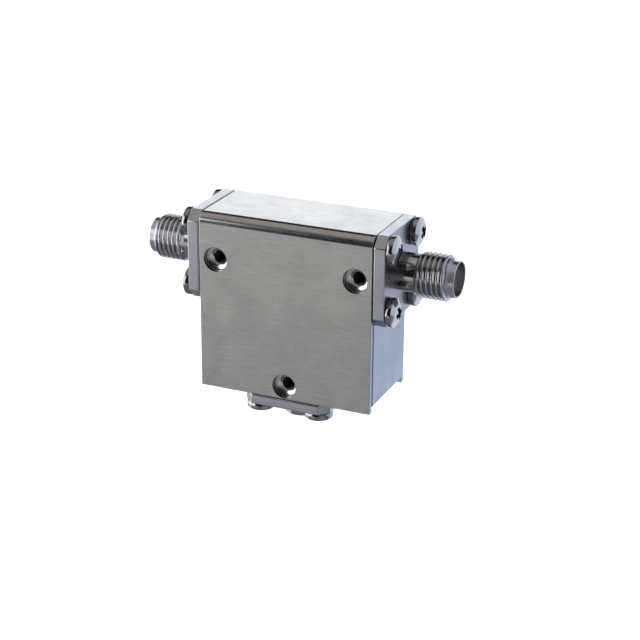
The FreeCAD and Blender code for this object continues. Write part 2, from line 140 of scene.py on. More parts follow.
class ISOLATOR_PG_sizes(bpy.types.PropertyGroup):
    """Lengths of the pieces that the frame doesn't give."""
    sheet: length("Sheet", "Thickness of the folded shield", 0.8)
    bend: length("Bend", "Outer radius of the shield's two bends", 1.5)
    cover_hole: length("Shield holes", "Diameter of the punched holes in the shield", 3.4)
    hole_roll: length("Hole edges", "Roll of the front edge of the punched holes", 0.07)
    block_edge: length("Block edges", "Radius of the block's two upper edges", 0.9)
    block_foot: length("Block foot", "Height of the shield's hem below the block's foot", 0.9)
    fixing_bore: length("Fixing bores", "Outer diameter of the threads in the front", 2.0)
    fixing_tooth: length("Fixing threads", "Height of the threads in the front", 0.18)
    fixing_depth: length("Fixing depth", "Depth of the tapped holes in the block", 2.4)
    fixing_sink: length("Countersinks", "Mouth of the countersinks at the tapped holes", 3.3)
    sink_depth: length("Countersink depth", "Depth of the countersinks", 0.52)
    chamber: length("Chamber", "Diameter of the round chamber through the block", 15.0)
    port_flange: length("Port flanges", "Thickness of the ports' square flanges", 1.65)
    load_flange: length("Load flange", "Thickness of the load's square flange", 1.4)
    flange_corner: length("Flange corners", "Cut corners of the square flanges", 1.4)
    seam_round: length("Seam edges", "Round of a flange's edges beside the shield", 0.25)
    barrel: length("Barrel", "Diameter of a port's smooth barrel", 5.3)
    barrel_length: length("Barrel length", "Flange face to the start of the thread", 2.6)
    thread_pitch: length("Thread pitch", "Advance of the port's thread in one turn", 0.7056)
    thread_crest: length("Thread crests", "Width of the flat on the port thread's crests", 0.10)
    crest_round: length("Crest edges", "Radius of the edges beside that flat", 0.09)
    thread_length: length("Thread length", "Thread from its start to the cone at its end", 4.15)
    lip: length("Lip", "Diameter of the plain lip round the mouth", 5.06)
    mouth_depth: length("Mouth depth", "Mouth to the insulator's face", 1.95)
    socket_bore: length("Socket", "Bore of the slotted socket in a port's contact", 0.94)
    socket_depth: length("Socket depth", "Depth of the slotted socket", 2.6)
    slot_width: length("Socket slots", "Width of the slots between the socket's fingers", 0.2)
    boss: length("Boss", "Diameter of the load's closed boss", 4.9)
    boss_break: length("Boss edge", "Broken edge of the boss", 0.3)
    screw_spacing: length("Screw spacing", "Side of the square that a flange's screws stand on", 8.64)
    screw_hole: length("Screw holes", "Clearance holes for the flange screws", 2.3)
    screw_shank: length("Screw shanks", "Diameter of the flange screws", 1.8)
    screw_head: length("Screw heads", "Diameter of the screw heads", 4.0)
    head_band: length("Head band", "Straight side of a screw head", 0.9)
    head_foot: length("Head foot", "Height of the round at the foot of a screw head", 0.5)
    head_dome: length("Head dome", "Rise of a screw head above its straight side", 0.6)
    recess_span: length("Recess", "Span of the cross recess in a screw head", 1.95)
    recess_width: length("Recess width", "Width of the cross recess at the head's surface", 0.7)
    recess_depth: length("Recess depth", "Depth of the cross recess", 1.1)
    edge_break: length("Edge break", "Broken edges of the machined pieces", 0.10)
    fine_break: length("Fine edge break", "Broken edges of the sheet and the lips", 0.08)


class ISOLATOR_PG_finish(bpy.types.PropertyGroup):
    """Colours of the finishes."""
    shield: colour("Shield", "Brushed sheet of the shield", (0.56, 0.56, 0.55))
    block: colour("Block", "Satin plated block", (0.405, 0.443, 0.53))
    # The countersinks' light colour is partly bright cut metal and partly a painted highlight for the
    # white crescents in the holes
    cut: colour("Countersinks", "Bright cut metal of the countersinks", (0.86, 0.87, 0.88))
    # The punched walls' dark colour is painted shade inside the holes
    edge: colour("Punched edges", "Sheared walls of the punched holes", (0.20, 0.195, 0.19))
    # The bores' near-black colour is painted shade deep in the tapped holes
    shadow: colour("Bores", "Dark metal deep in the tapped bores", (0.09, 0.09, 0.09))
    flange: colour("Flanges", "Ground steel of the flanges' edges", (0.54, 0.562, 0.612))
    # The flanges' outer faces are a darker copy of the flange steel: painted shade
    face: colour("Flange faces", "Turned steel of the flanges' outer faces", (0.37, 0.375, 0.40))
    barrel: colour("Barrels", "Turned steel of the ports and the load", (0.55, 0.54, 0.54))
    # The grooves' darker colour is painted shade between the crests
    groove: colour("Grooves", "Cut steel in the ports' threads", (0.46, 0.455, 0.47))
    # The crests' lighter colour is a painted highlight, the glints along the threads
    crest: colour("Crests", "Rolled steel on the threads' crests", (0.66, 0.66, 0.68))
    # The lips' lighter, cooler colour is a painted highlight
    lip: colour("Lips", "Turned steel at the ports' open ends", (0.66, 0.67, 0.72))
    screw: colour("Screws", "Bright steel of the screws", (0.62, 0.62, 0.63))
    # The head sides' darker colour is painted shade and a painted reflection of the dark room
    side: colour("Screw sides", "Steel round the sides of the screw heads", (0.42, 0.41, 0.42))
    # The recesses' near-black colour is painted shade
    recess: colour("Recesses", "Darker steel in the screws' cross recesses", (0.17, 0.16, 0.17))
    # The mouths' darker colour is painted shade inside the bore
    mouth: colour("Mouths", "Bored wall of the ports' mouths", (0.40, 0.38, 0.41))
    insulator: colour("Insulators", "White insulator of the lines", (0.80, 0.79, 0.76))
    gold: colour("Contacts", "Gold plating of the contacts", (0.80, 0.58, 0.26))
    copper: colour("Conductor", "Rolled copper of the centre conductor", (0.72, 0.40, 0.26))
    ferrite: colour("Ferrites", "Ground ferrite", (0.045, 0.045, 0.05))
    ceramic: colour("Rings", "Off-white ceramic of the rings", (0.70, 0.68, 0.62))
    pole: colour("Pole pieces", "Ground steel of the plates and caps", (0.48, 0.48, 0.50))
    magnet: colour("Magnets", "Nickel plating of the magnets", (0.55, 0.55, 0.57))
    resistor: colour("Resistor", "Matt black resistive element", (0.035, 0.033, 0.033))


class ISOLATOR_PG_studio(bpy.types.PropertyGroup):
    """Camera, floor and light, and the room that bare metal shows."""
    azimuth: angle("Azimuth", "Camera's turn round the isolator", 23.24)
    elevation: angle("Elevation", "Camera's height above the horizon", 21.72)
    roll: angle("Roll", "Tilt of the camera about its own axis", 0.43)
    distance: length("Distance", "Camera to the point that it faces", 236.3)
    aim_drop: length("Aim", "Port axis down to the point that the camera faces", 9.4)
    sidestep: length("Sidestep", "Camera's shift to its own right", 2.34)
    lens: FloatProperty(name="Lens", description="Focal length on a 36 mm sensor", default=96.19,
                        min=1.0, subtype="DISTANCE_CAMERA", unit="CAMERA")
    floor_drop: length("Floor drop", "Load down to the floor", 80.0)
    floor_colour: colour("Floor", "Plain pale floor", (0.85, 0.85, 0.85))
    floor_glow: share("Floor glow", "Light that the floor adds for the camera", 0.45)
    fill: share("Fill", "Level of the plain light from all round", 0.72)
    room: colour("Room", "The studio's dim room", (0.17, 0.17, 0.18))
    ceiling: colour("Ceiling", "The ceiling at the left", (0.42, 0.39, 0.36))
    table: colour("Table", "The table below the isolator", (0.22, 0.22, 0.24))
    front_table: colour("Front of the table", "The lit table before it", (0.54, 0.54, 0.535))
    right_table: colour("Right of the table", "The table to its right", (0.33, 0.35, 0.42))
    dark_side: colour("Dark side", "The unlit room behind the camera", (0.012, 0.011, 0.011))
    backdrop: colour("Backdrop", "The backdrop behind the isolator", (0.78, 0.86, 1.0))
    side_wall: colour("Side wall", "The wall to the right", (0.60, 0.66, 0.80))
    card: colour("Card", "Low white card at the left", (1.0, 1.0, 1.0))


def in_mm(group):
    """The lengths of a property group as plain numbers in millimetres."""
    described = group.bl_rna.properties
    names = [name for name in described.keys() if described[name].unit == "LENGTH"]
    return SimpleNamespace(**{name: getattr(group, name) * MM for name in names})


def sizes_and_colours(context):
    """The isolator's sizes in millimetres and its colours."""
    return in_mm(context.scene.isolator_sizes), context.scene.isolator_finish


# Solids

def spaced(start, end, steps):
    """Evenly spaced values from one to another, with both."""
    return [start + (end - start) * (step / steps) for step in range(steps + 1)]


def prism(outline, travel):
    """A closed prism: a flat outline swept along a vector."""
    solid = bmesh.new()
    near = [solid.verts.new(point) for point in outline]
    far = [solid.verts.new(Vector(point) + Vector(travel)) for point in outline]
    solid.faces.new(near)
    solid.faces.new(far)
    for index, corner in enumerate(near):
        solid.faces.new((corner, near[index - 1], far[index - 1], far[index]))
    bmesh.ops.recalc_face_normals(solid, faces=solid.faces)
    return solid


def turned(profile, segments=96, open_ended=False):
    """A solid turned about X from points of (x, radius).

    A profile that starts and ends on the axis makes a rod, any other one a tube,
    unless it is left open to be joined to another.
    """
    solid = bmesh.new()
    rings = [turned_ring(solid, x, radius, segments) for x, radius in profile]
    following = rings[1:] if open_ended else rings[1:] + rings[:1]
    for ring, after in zip(rings, following):
        span_rings(solid, ring, after)
    bmesh.ops.recalc_face_normals(solid, faces=solid.faces)
    return solid


def turned_ring(solid, x, radius, segments):
    """The vertices of one ring about X, or the single vertex of a point on the axis."""
    count = segments if radius else 1
    return [solid.verts.new(about_x(x, radius, step / segments)) for step in range(count)]


def about_x(x, radius, turn):
    """A point at a radius about X, after a share of a turn from +Y towards +Z."""
    return x, radius * cos(2 * pi * turn), radius * sin(2 * pi * turn)


def span_rings(solid, ring, after):
    """Faces between two rings, either of which may be a single point."""
    count = max(len(ring), len(after))
    if count == 1:
        return
    for step in range(count):
        ahead = (step + 1) % count
        corners = [ring[step % len(ring)], ring[ahead % len(ring)],
                   after[ahead % len(after)], after[step % len(after)]]
        solid.faces.new(dict.fromkeys(corners))


def rod(start, end, diameter, segments=48):
    """A plain round rod along X."""
    radius = diameter / 2
    return turned([(start, 0), (start, radius), (end, radius), (end, 0)], segments)


def placed(solid, matrix):
    """The same solid, moved."""
    bmesh.ops.transform(solid, matrix=matrix, verts=solid.verts)
    return solid


def as_mesh(solid, name):
    """A solid turned into a mesh, which uses it up."""
    mesh = bpy.data.meshes.new(name)
    solid.to_mesh(mesh)
    solid.free()
    return mesh


def linked(name, content):
    """A new object in the scene."""
    made = bpy.data.objects.new(name, content)
    bpy.context.scene.collection.objects.link(made)
    return made


def gathered(solids):
    """Several solids in one bmesh."""
    whole = bmesh.new()
    for solid in solids:
        mesh = as_mesh(solid, "gathered")
        whole.from_mesh(mesh)
        bpy.data.meshes.remove(mesh)
    return whole


def combined(base, tool, operation):
    """One solid joined to another, or cut by it."""
    holders = [linked(name, as_mesh(solid, name)) for name, solid in (("base", base), ("tool", tool))]
    step = holders[0].modifiers.new(operation.lower(), "BOOLEAN")
    step.operation = operation
    step.solver = "EXACT"
    step.object = holders[1]
    result = bmesh.new()
    result.from_object(holders[0], bpy.context.evaluated_depsgraph_get())
    for holder in holders:
        mesh = holder.data
        bpy.data.objects.remove(holder)
        bpy.data.meshes.remove(mesh)
    if not result.faces:
        raise RuntimeError("two solids didn't combine")
    return result


def cut_by(base, cutters):
    """A solid cut by each of several others in turn."""
    for cutter in cutters:
        base = combined(base, cutter, "DIFFERENCE")
    return base


def rounded(solid, edges, radius, segments):
    """A solid with some of its edges rounded."""
    bmesh.ops.bevel(solid, geom=edges, offset=radius, offset_type="OFFSET", segments=segments,
                    profile=0.5, affect="EDGES", clamp_overlap=True)
    return solid


def softened(solid, width, beyond=40.0):
    """A solid whose edges are broken where two faces meet at more than so many degrees."""
    edges = [edge for edge in solid.edges
             if len(edge.link_faces) == 2 and edge.calc_face_angle() > radians(beyond)]
    return rounded(solid, edges, width, segments=3)


def arc(centre_y, centre_z, radius, start, end, steps=10):
    """Points of an arc in the YZ plane, by angles in degrees from +Y towards +Z."""
    turns = [radians(turn) for turn in spaced(start, end, steps)]
    return [(0.0, centre_y + radius * cos(turn), centre_z + radius * sin(turn)) for turn in turns]


def quarter_round(radius, depth, flare, steps):
    """Points of (x, radius) that start off by the flare and reach the radius at the depth."""
    return [(depth * (1 - cos(turn)), radius + flare * (1 - sin(turn)))
            for turn in spaced(0.0, pi / 2, steps)]


# Places

# The frames of the ports and the load, whose X runs out from the block along their axes
AT_RIGHT = Matrix.Translation((SEAT, MID_DEPTH, 0))
AT_LEFT = Matrix.Translation((-SEAT, MID_DEPTH, 0)) @ Matrix.Rotation(pi, 4, "Z")
AT_LOAD = Matrix.Translation((0, MID_DEPTH, LOAD_HIGH.z)) @ Matrix.Rotation(pi / 2, 4, "Y")

# The three fixing holes in the front, as (x, z)
FIXINGS = ((-FIXING_SIDE, 0.0), (FIXING_SIDE, 0.0), (0.0, LOWER_FIXING))


def into_front(x, z, depth=0.0):
    """A frame in the front face whose X runs straight into the isolator."""
    return Matrix.Translation((x, depth, z)) @ Matrix.Rotation(pi / 2, 4, "Z")


def from_fixing(middle):
    """How far a point lies from the axis of the nearest fixing hole."""
    return min(Vector((middle.x - x, middle.z - z)).length for x, z in FIXINGS)


def screw_places(sizes):
    """The four screws of a flange, as moves across its axis."""
    half = sizes.screw_spacing / 2
    return [Matrix.Translation((0, y, z)) for y in (-half, half) for z in (-half, half)]


# Shapes of the pieces

def shield_solid(sizes):
    """Front, top and back folded from one strip of sheet, with three round holes."""
    sheet, bend = sizes.sheet, sizes.bend
    inner = bend - sheet
    foot, top, back = COVER_LOW.z, COVER_HIGH.z, COVER_HIGH.y
    outline = [(0, 0, foot)]
    outline += arc(bend, top - bend, bend, 180, 90)
    outline += arc(back - bend, top - bend, bend, 90, 0)
    outline += [(0, back, foot), (0, back - sheet, foot)]
    outline += arc(back - bend, top - bend, inner, 0, 90)
    outline += arc(bend, top - bend, inner, 90, 180)
    outline += [(0, sheet, foot)]
    width = COVER_HIGH.x - COVER_LOW.x
    strip = placed(prism(outline, (width, 0, 0)), Matrix.Translation((COVER_LOW.x, 0, 0)))
    holes = [placed(punched_hole(sizes), into_front(x, z)) for x, z in FIXINGS]
    return cut_by(softened(strip, sizes.fine_break), holes)


def punched_hole(sizes):
    """A hole punched through the sheet, along X from the front face.

    Its front edge is rolled in and its back edge broken.
    """
    radius, roll, sheet = sizes.cover_hole / 2, sizes.hole_roll, sizes.sheet
    before, behind, back_break, clear = 0.3, 0.2, 0.03, 0.001
    profile = [(-before, 0), (-before, radius + roll + before)]
    profile += [(x - clear, around) for x, around in quarter_round(radius, roll, roll, steps=8)]
    profile += [(sheet - back_break, radius), (sheet + behind, radius + behind + back_break),
                (sheet + behind, 0)]
    return turned(profile)


def fixing_cutter(sizes):
    """A blind tapped hole with a drilled point and a countersink, along X from the block's face.

    The crown is the share by which the countersink starts flatter, and ends steeper, than a
    cone. The groove's form is how deep it is along its length, both as shares. The point's
    angle is from the axis to its side.
    """
    bore = sizes.fixing_bore / 2 - sizes.fixing_tooth
    sink, cone, depth = sizes.fixing_sink / 2, sizes.sink_depth, sizes.fixing_depth
    before, crown, point = 0.5, 0.64, radians(59)
    grooves, groove_form = 6, ((0.30, 0), (0.5, 1), (0.7, 1), (0.95, 0))
    slope = atan(cone / (sink - bore))
    flat, steep = (1 - crown) * slope, (1 + crown) * slope
    ball = (sink - bore) / (sin(steep) - sin(flat))
    profile = [(-before, 0), (-before, sink + before / tan(flat))]
    profile += [(ball * (cos(flat) - cos(turn)), sink - ball * (sin(turn) - sin(flat)))
                for turn in spaced(flat, steep, 8)]
    groove = (depth - cone) / grooves
    profile += [(cone + (number + along) * groove, bore + deep * sizes.fixing_tooth)
                for number in range(grooves) for along, deep in groove_form]
    return turned(profile + [(depth, bore), (depth + bore / tan(point), 0)], segments=64)


def block_solid(sizes):
    """The junction block with its seats, chamber, line bores, fixing holes and screw holes."""
    side, near, far, top = BLOCK_HIGH.x, BLOCK_LOW.y, BLOCK_HIGH.y, BLOCK_HIGH.z
    foot, seat = COVER_LOW.z + sizes.block_foot, BLOCK_LOW.z
    outline = [(-side, near, foot), (-FLANGE_HALF, near, foot), (-FLANGE_HALF, near, seat),
               (FLANGE_HALF, near, seat), (FLANGE_HALF, near, foot), (side, near, foot),
               (side, near, top), (-side, near, top)]
    body = prism(outline, (0, far - near, 0))
    upper = [edge for edge in body.edges
             if edge.verts[0].co.yz == edge.verts[1].co.yz and edge.verts[0].co.z > 0]
    body = softened(rounded(body, upper, sizes.block_edge, segments=8), sizes.edge_break)
    middle = (CHAMBER_LOW.z + CHAMBER_HIGH.z) / 2
    reach = 2 * side
    cutters = [placed(fixing_cutter(sizes), into_front(x, z, near)) for x, z in FIXINGS]
    cutters += [placed(rod(-PAST, reach, sizes.chamber, segments=96), into_front(0, middle)),
                placed(rod(-reach, reach, LINE_BORE), Matrix.Translation((0, MID_DEPTH, 0))),
                placed(rod(seat - middle, PAST, LINE_BORE), AT_LOAD)]
    for place in (AT_RIGHT, AT_LEFT, AT_LOAD):
        cutters += [placed(rod(-SCREW_GRIP, PAST, sizes.screw_shank, segments=24), place @ spot)
                    for spot in screw_places(sizes)]
    return cut_by(body, cutters)


def flange_solid(sizes, thickness):
    """A square flange with cut corners, its edges broken, standing on the plane X = 0."""
    half = FLANGE_HALF
    cut = half - sizes.flange_corner
    outline = [(0, -half, -cut), (0, -cut, -half), (0, cut, -half), (0, half, -cut),
               (0, half, cut), (0, cut, half), (0, -cut, half), (0, -half, cut)]
    plate = prism(outline, (thickness, 0, 0))
    seams = [edge for edge in plate.edges
             if all(vert.co.x < TOUCH and abs(vert.co.y) > half - TOUCH for vert in edge.verts)]
    return softened(rounded(plate, seams, sizes.seam_round, segments=4), sizes.edge_break,
                    beyond=30.0)


def flanged(sizes, thickness, body, bore):
    """A turned body on its square flange, bored, and drilled for its screws."""
    whole = combined(flange_solid(sizes, thickness), body, "UNION")
    holes = [placed(rod(-PAST, thickness + PAST, sizes.screw_hole, segments=32), spot)
             for spot in screw_places(sizes)]
    return cut_by(whole, [bore] + holes)


def thread_form(sizes):
    """Places along one pitch, as shares of it, that follow a crest's edges and both flanks."""
    pitch, flat, edge = sizes.thread_pitch, sizes.thread_crest / 2, sizes.crest_round
    crest = [(flat + edge * sin(turn)) / pitch for turn in spaced(0.0, FLANK, 4)]
    flank = (THREAD_DEPTH * pitch - edge * (1 - cos(FLANK))) / tan(FLANK) / pitch
    half = crest + [crest[-1] + step for step in spaced(0.0, flank, 5)[1:]]
    return [0.0] + half + [0.5] + [1 - step for step in reversed(half)]


def thread_drop(sizes, away):
    """How far the thread lies below its crests, by the distance from the nearest one."""
    flat, edge = sizes.thread_crest / 2, sizes.crest_round
    flank_start = flat + edge * sin(FLANK)
    if away < flank_start:
        return edge - sqrt(edge ** 2 - max(0.0, away - flat) ** 2)
    return edge * (1 - cos(FLANK)) + (away - flank_start) * tan(FLANK)


def thread_solid(sizes, start, end, segments=128):
    """The open skin of a right-handed thread from its run-in at start to the cone's foot at end.

    A crest stands a measured way from the start, at a share of a turn from +Y. Each row follows
    the thread once round, so its end meets the start of the row one pitch on. The rows go on
    for some spare pitches at both ends, where they are held to the start and the end.
    """
    pitch, crest = sizes.thread_pitch, THREAD / 2
    root = crest - THREAD_DEPTH * pitch
    seen_crest, seen_turn, spare = 1.14, 0.435, 2
    origin = start + seen_crest - seen_turn * pitch
    form = thread_form(sizes)

    def radius_at(x, turn):
        """The thread's own radius, held in by the cones at its two ends."""
        turns = (x - origin) / pitch - turn
        own = crest - thread_drop(sizes, abs(turns - round(turns)) * pitch)
        run_in = sizes.barrel / 2 + (x - start)
        run_out = crest - (x - start - sizes.thread_length)
        return max(min(own, run_in, run_out), min(root, run_in, run_out))

    solid = bmesh.new()
    first, last = int((start - origin) / pitch) - spare, int((end - origin) / pitch) + spare
    grid = []
    for row in (origin + (number + step) * pitch for number in range(first, last) for step in form):
        places = [(min(max(row + turn * pitch, start), end), turn)
                  for turn in (step / segments for step in range(segments))]
        grid.append([solid.verts.new(about_x(x, radius_at(x, turn), turn)) for x, turn in places])
    one_on = grid[len(form):] + [[]] * len(form)
    rows = [row + beyond[:1] for row, beyond in zip(grid, one_on)]
    for here, there in zip(rows, rows[1:]):
        for corners in zip(here, here[1:], there[1:], there):
            solid.faces.new(corners)
    return solid


def port_solid(sizes):
    """A port: square flange, smooth barrel, thread and the plain lip round its mouth."""
    flange, barrel, lip, edge = sizes.port_flange, sizes.barrel / 2, sizes.lip / 2, sizes.fine_break
    inside, start = flange - SUNK, flange + sizes.barrel_length
    end = start + sizes.thread_length + THREAD / 2 - lip
    foot = turned([(inside, 0), (inside, barrel), (start, barrel)], segments=128, open_ended=True)
    tip = turned([(end, lip), (PORT_REACH - edge, lip), (PORT_REACH, lip - edge), (PORT_REACH, 0)],
                 segments=128, open_ended=True)
    body = gathered([foot, thread_solid(sizes, start, end), tip])
    bmesh.ops.remove_doubles(body, verts=body.verts, dist=1e-4)
    bmesh.ops.recalc_face_normals(body, faces=body.faces)
    chamfer, beyond = 0.05, 0.5
    line, mouth = LINE_BORE / 2, MOUTH / 2
    face, outside = PORT_REACH - sizes.mouth_depth, PORT_REACH + beyond
    bore = turned([(-PAST, 0), (-PAST, line), (face, line), (face, mouth),
                   (PORT_REACH - chamfer, mouth), (outside, mouth + chamfer + beyond),
                   (outside, 0)], segments=128)
    return flanged(sizes, flange, body, bore)


def load_solid(sizes):
    """The load's shell: square flange and closed boss."""
    inside, radius, corner = sizes.load_flange - SUNK, sizes.boss / 2, sizes.boss_break
    middle = 0.3 * corner
    boss = turned([(inside, 0), (inside, radius), (LOAD_REACH - corner, radius),
                   (LOAD_REACH - middle, radius - middle), (LOAD_REACH, radius - corner),
                   (LOAD_REACH, 0)])
    bore = rod(-PAST, LOAD_HIGH.z - RESISTOR_LOW.z, LINE_BORE)
    return flanged(sizes, sizes.load_flange, boss, bore)


def cross_ring(solid, x, out, wide):
    """The twelve corners of a cross about X, by its arms' length and half their width."""
    ring = []
    for turn in range(4):
        for across, up in ((out, wide), (wide, wide), (wide, out)):
            for _ in range(turn):
                across, up = -up, across
            ring.append(solid.verts.new((x, across, up)))
    return ring


def recess_cutter(sizes, top):
    """The tapered cross of a screw's recess, along X down from above the head's top."""
    span, half, bottom = sizes.recess_span / 2, sizes.recess_width / 2, top - sizes.recess_depth
    above, point = 0.1, 0.12
    span_above, half_above, span_below, half_below = 1.08, 1.1, 0.45, 0.6
    solid = bmesh.new()
    upper = cross_ring(solid, top + above, span_above * span, half_above * half)
    lower = cross_ring(solid, bottom, span_below * span, half_below * half)
    span_rings(solid, upper, lower)
    solid.faces.new(upper)
    span_rings(solid, lower, [solid.verts.new((bottom - point, 0, 0))])
    bmesh.ops.recalc_face_normals(solid, faces=solid.faces)
    return solid


def screw_solid(sizes, flange):
    """A flange screw: domed head with a cross recess, and its shank down through the flange.

    The shoulder's points lie so far below the band's top, and so far in from its side.
    """
    radius, shank, band = sizes.screw_head / 2, sizes.screw_shank / 2, sizes.head_band
    top, tail = band + sizes.head_dome, -SCREW_GRIP - flange
    shoulder = ((0.08, 0.0), (0.03, 0.015))
    point, foot_inset = 0.25, 0.2
    profile = [(tail, 0), (tail, shank - point), (tail + point, shank), (0, shank)]
    profile += quarter_round(radius, sizes.head_foot, -foot_inset, steps=6)
    profile += [(band - below, radius - inset) for below, inset in shoulder]
    ball = dome_radius(sizes)
    profile += [(top - ball + ball * cos(turn), ball * sin(turn))
                for turn in spaced(asin((radius - HEAD_RIM) / ball), 0.0, 14)]
    return combined(turned(profile, segments=64), recess_cutter(sizes, top), "DIFFERENCE")


def dome_radius(sizes):
    """Radius of the ball that a screw head's dome is part of."""
    rim = sizes.screw_head / 2 - HEAD_RIM
    return (rim ** 2 + sizes.head_dome ** 2) / (2 * sizes.head_dome)


def insulator_solid(sizes):
    """The insulator of a port's line, bored for the contact."""
    start, end = LINE_LOW.x - SEAT, PORT_REACH - sizes.mouth_depth
    outer, inner = LINE_BORE / 2, CONTACT / 2
    outer_break, inner_break = 0.06, 0.05
    return turned([(start, inner), (start, outer), (end - outer_break, outer),
                   (end, outer - outer_break), (end, inner + inner_break), (end - inner_break, inner)])


def contact_solid(sizes):
    """A port's contact: a round pin whose outer end is a socket of four sprung fingers.

    The nose's points lie so far back from the end, and so far in from the side.
    """
    start, end = CONTACT_LOW.x - SEAT, CONTACT_HIGH.x - SEAT
    radius, bore, floor = CONTACT / 2, sizes.socket_bore / 2, end - sizes.socket_depth
    nose = ((0.08, 0.0), (0.02, 0.03), (0.0, 0.08))
    lead_in, flare, drill_point = 0.06, 0.04, 0.2
    pin = turned([(start, 0), (start, radius)]
                 + [(end - back, radius - inset) for back, inset in nose]
                 + [(end, bore + flare), (end - lead_in, bore), (floor, bore),
                    (floor - drill_point, 0)], segments=64)
    half = sizes.slot_width / 2
    slots = [prism([(floor, -y, -z), (floor, y, -z), (floor, y, z), (floor, -y, z)],
                   (sizes.socket_depth + PAST, 0, 0)) for y, z in ((PAST, half), (half, PAST))]
    return cut_by(pin, slots)


# Making pieces of the solids

def mesh_of(solid, name, *materials, pick=None):
    """A solid as a mesh in metres, with a finish for each face that pick chooses."""
    for face in solid.faces:
        face.material_index = pick(face.calc_center_median()) if pick else 0
    mesh = as_mesh(placed(solid, Matrix.Scale(1 / MM, 4)), name)
    for material in materials:
        mesh.materials.append(material)
    mesh.shade_smooth()
    mesh.set_sharp_from_angle(angle=SHARP)
    return mesh


def shown(mesh, name, node, place=Matrix()):
    """Put a mesh into the scene as a piece that stands for a CAD node and rides on its body."""
    piece = linked(name, mesh)
    # A place is in millimetres, so its shift is brought down to metres
    piece.matrix_world = Matrix.Translation((1 / MM - 1) * place.translation) @ place
    piece.modifiers.new("even_shading", "WEIGHTED_NORMAL").keep_sharp = True
    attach(piece, "root")
    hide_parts(node)


# Finishes

def feed(tree, node, inputs):
    """Set a node's inputs, each to a value or to another node's socket."""
    for key, value in inputs.items():
        if isinstance(value, bpy.types.NodeSocket):
            tree.links.new(value, node.inputs[key])
        else:
            node.inputs[key].default_value = value


def add(tree, kind, inputs=None, **settings):
    """A node with its settings and its inputs."""
    made = tree.nodes.new(kind)
    for name, value in settings.items():
        setattr(made, name, value)
    feed(tree, made, inputs or {})
    return made


def blank(name):
    """A new material with its node tree and its principled shader."""
    material = bpy.data.materials.new(name)
    material.use_nodes = True
    tree = material.node_tree
    tree.nodes.clear()
    shader = add(tree, "ShaderNodeBsdfPrincipled")
    add(tree, "ShaderNodeOutputMaterial", {"Surface": shader.outputs["BSDF"]})
    return material, tree, shader


def noise(tree, scale, detail=2.0, roughness=0.5, warp=0.0):
    """Noise whose features have a number per millimetre along each of the object's axes."""
    place = add(tree, "ShaderNodeTexCoord").outputs["Object"]
    stretched = add(tree, "ShaderNodeMapping", {"Vector": place, "Scale": [MM * s for s in scale]})
    values = {"Vector": stretched.outputs["Vector"], "Scale": 1.0, "Detail": detail,
              "Roughness": roughness, "Distortion": warp}
    return add(tree, "ShaderNodeTexNoise", values).outputs["Fac"]


def spread(tree, source, low, high, start=0.3, stop=0.7):
    """A factor spread over a range of values."""
    values = {"Value": source, "From Min": start, "From Max": stop, "To Min": low, "To Max": high}
    return add(tree, "ShaderNodeMapRange", values).outputs["Result"]


def either(tree, factor, first, second):
    """A mix of two colours."""
    values = {0: factor}
    for key, tint in ((6, first), (7, second)):
        values[key] = tint if isinstance(tint, bpy.types.NodeSocket) else [*tint][:3] + [1.0]
    return add(tree, "ShaderNodeMix", values, data_type="RGBA").outputs[2]


def tinted(tree, source, base, depth, cool=0.0):
    """A colour that a factor darkens and lightens by a share, a little cooler where it is light."""
    dark = [value * (1 - depth) for value in base]
    light = [value * (1 + depth + cool * lean) for value, lean in zip(base, (-1, 0, 1))]
    return either(tree, spread(tree, source, 0.0, 1.0), dark, light)


def surface(name, base, roughness, marks, clouds, lines, depth, sway, relief, height, cool=0.0):
    """A material whose marks and clouds vary its colour and roughness, with the marks cut in.

    Lines is the marks' share beside the clouds. Depth and sway are how far both go with the
    colour and the roughness, and height is how high the marks stand, in metres.
    """
    material, tree, shader = blank(name)
    fine = noise(tree, **marks)
    mixed = {0: lines, 2: noise(tree, **clouds), 3: fine}
    both = add(tree, "ShaderNodeMix", mixed, data_type="FLOAT").outputs[0]
    bump = add(tree, "ShaderNodeBump", {"Height": fine, "Strength": relief, "Distance": height})
    feed(tree, shader, {"Base Color": tinted(tree, both, base, depth, cool),
                        "Roughness": spread(tree, both, roughness + sway, roughness - sway),
                        "Normal": bump.outputs["Normal"]})
    return material, tree, shader


def once(maker):
    """Have a finish made only the first time that a piece asks for it by its name."""
    def made(name, *values, **settings):
        return bpy.data.materials.get(name) or maker(name, *values, **settings)
    return made


@once
def metal(name, base, roughness, grain, along=None, lines=0.5, depth=0.10, relief=0.25,
          anisotropy=0.0, cool=0.0):
    """A metal with fine tool marks, faint clouds and a roughness that varies with both.

    The grain gives the marks per millimetre along each axis. Highlights are drawn out along
    the direction given.
    """
    marks = {"scale": grain, "detail": 3.0, "roughness": 0.6}
    clouds = {"scale": (0.22, 0.22, 0.22), "detail": 3.0, "roughness": 0.55, "warp": 0.6}
    material, tree, shader = surface(name, base, roughness, marks, clouds, lines, depth, sway=0.05,
                                     relief=relief, height=4e-6, cool=cool)
    feed(tree, shader, {"Metallic": 1.0, "Anisotropic": anisotropy})
    if along:
        way = add(tree, "ShaderNodeCombineXYZ", dict(enumerate(along)))
        feed(tree, shader, {"Tangent": way.outputs["Vector"]})
    return material


@once
def ground_body(name, base, roughness, grain):
    """A ground or moulded body that isn't metal: fine grain, faint clouds, soft sheen."""
    marks = {"scale": grain, "detail": 4.0, "roughness": 0.65}
    return surface(name, base, roughness, marks, {"scale": (0.4, 0.4, 0.4)}, lines=0.5,
                   depth=0.08, sway=0.08, relief=0.3, height=8e-6)[0]


